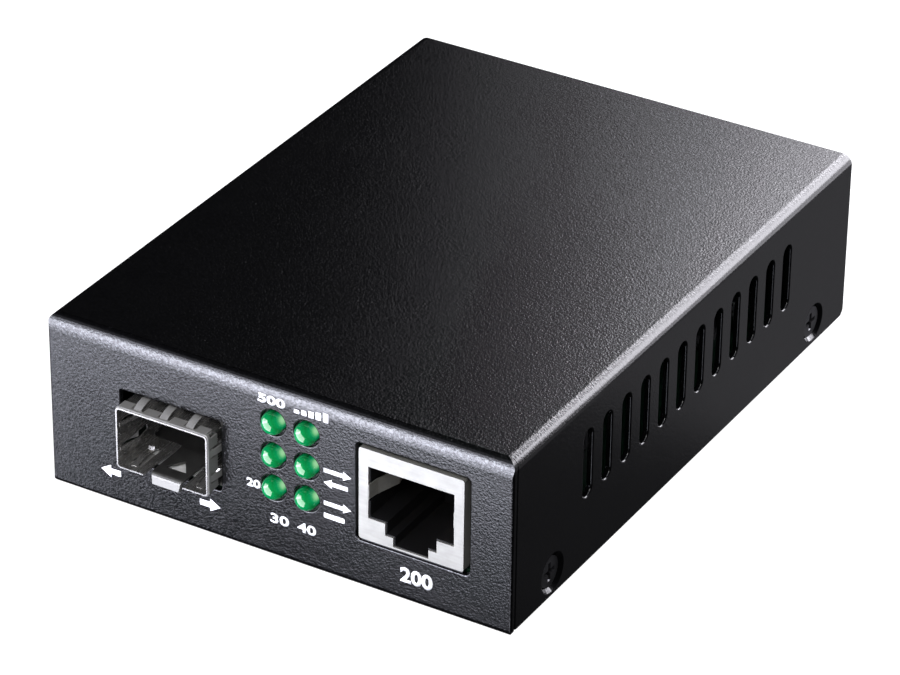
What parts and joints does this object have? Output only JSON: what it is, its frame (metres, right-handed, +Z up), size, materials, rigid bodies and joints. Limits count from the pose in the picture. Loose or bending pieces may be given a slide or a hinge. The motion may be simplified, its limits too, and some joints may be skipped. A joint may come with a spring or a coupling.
{
  "type": "fibre media converter",
  "caption": "Small desktop fibre media converter in a folded steel case, with an optical module cage, indicator lamps and a network socket in front and a power inlet at the back.",
  "frame": {"origin": "centre of the footprint's bounding box, on the surface the case stands on", "axes": "+X to the right seen from the front, +Y from the front panel to the back, +Z up"},
  "size_m": [0.07, 0.0966, 0.026],
  "materials": {
    "case_paint": "fine pebbled charcoal powder coat, satin",
    "screw_black": "black oxide, satin",
    "steel_zinc": "bright zinc",
    "board_green": "solder mask over glass laminate",
    "cage_nickel": "matte nickel plate",
    "socket_shield": "bright nickel plate",
    "black_plastic": "moulded, fine satin",
    "contact_gold": "gold flash over nickel",
    "led_green": "tinted diffused epoxy, glossy",
    "tinned_lead": "tin plate",
    "chip_epoxy": "moulded epoxy, fine matte",
    "can_steel": "drawn and plated can",
    "ferrite": "sintered ferrite",
    "capacitor_can": "aluminium can, satin",
    "ceramic": "ceramic with tinned ends",
    "fuse_body": "moulded polymer",
    "print_white": "screen-printed ink"
  },
  "bodies": {
    "root": {"chassis_tray": "case_paint", "top_cover": "case_paint", "case_screws": "screw_black", "main_pcb": "board_green", "pcb_standoffs": "steel_zinc", "pcb_screws": "steel_zinc", "sfp_cage_shell": "cage_nickel", "sfp_cage_floor": "cage_nickel", "sfp_spring_collar": "cage_nickel", "sfp_host_connector": "black_plastic", "sfp_connector_contacts": "contact_gold", "rj45_shield": "socket_shield", "rj45_housing": "black_plastic", "rj45_contacts": "contact_gold", "led_left_top": "led_green", "led_left_middle": "led_green", "led_left_bottom": "led_green", "led_right_top": "led_green", "led_right_middle": "led_green", "led_right_bottom": "led_green", "led_holder_left": "black_plastic", "led_holder_right": "black_plastic", "led_leads": "tinned_lead", "dc_jack_body": "black_plastic", "dc_jack_pin": "steel_zinc", "dc_jack_contacts": "tinned_lead", "converter_chip": "chip_epoxy", "converter_chip_leads": "tinned_lead", "lan_transformer": "chip_epoxy", "eeprom_chip": "chip_epoxy", "crystal": "can_steel", "power_inductor": "ferrite", "smoothing_capacitors": "capacitor_can", "voltage_regulator": "chip_epoxy", "input_diode": "chip_epoxy", "resettable_fuse": "fuse_body", "smd_resistors": "chip_epoxy", "smd_capacitors": "ceramic"}
  },
  "joints": []
}
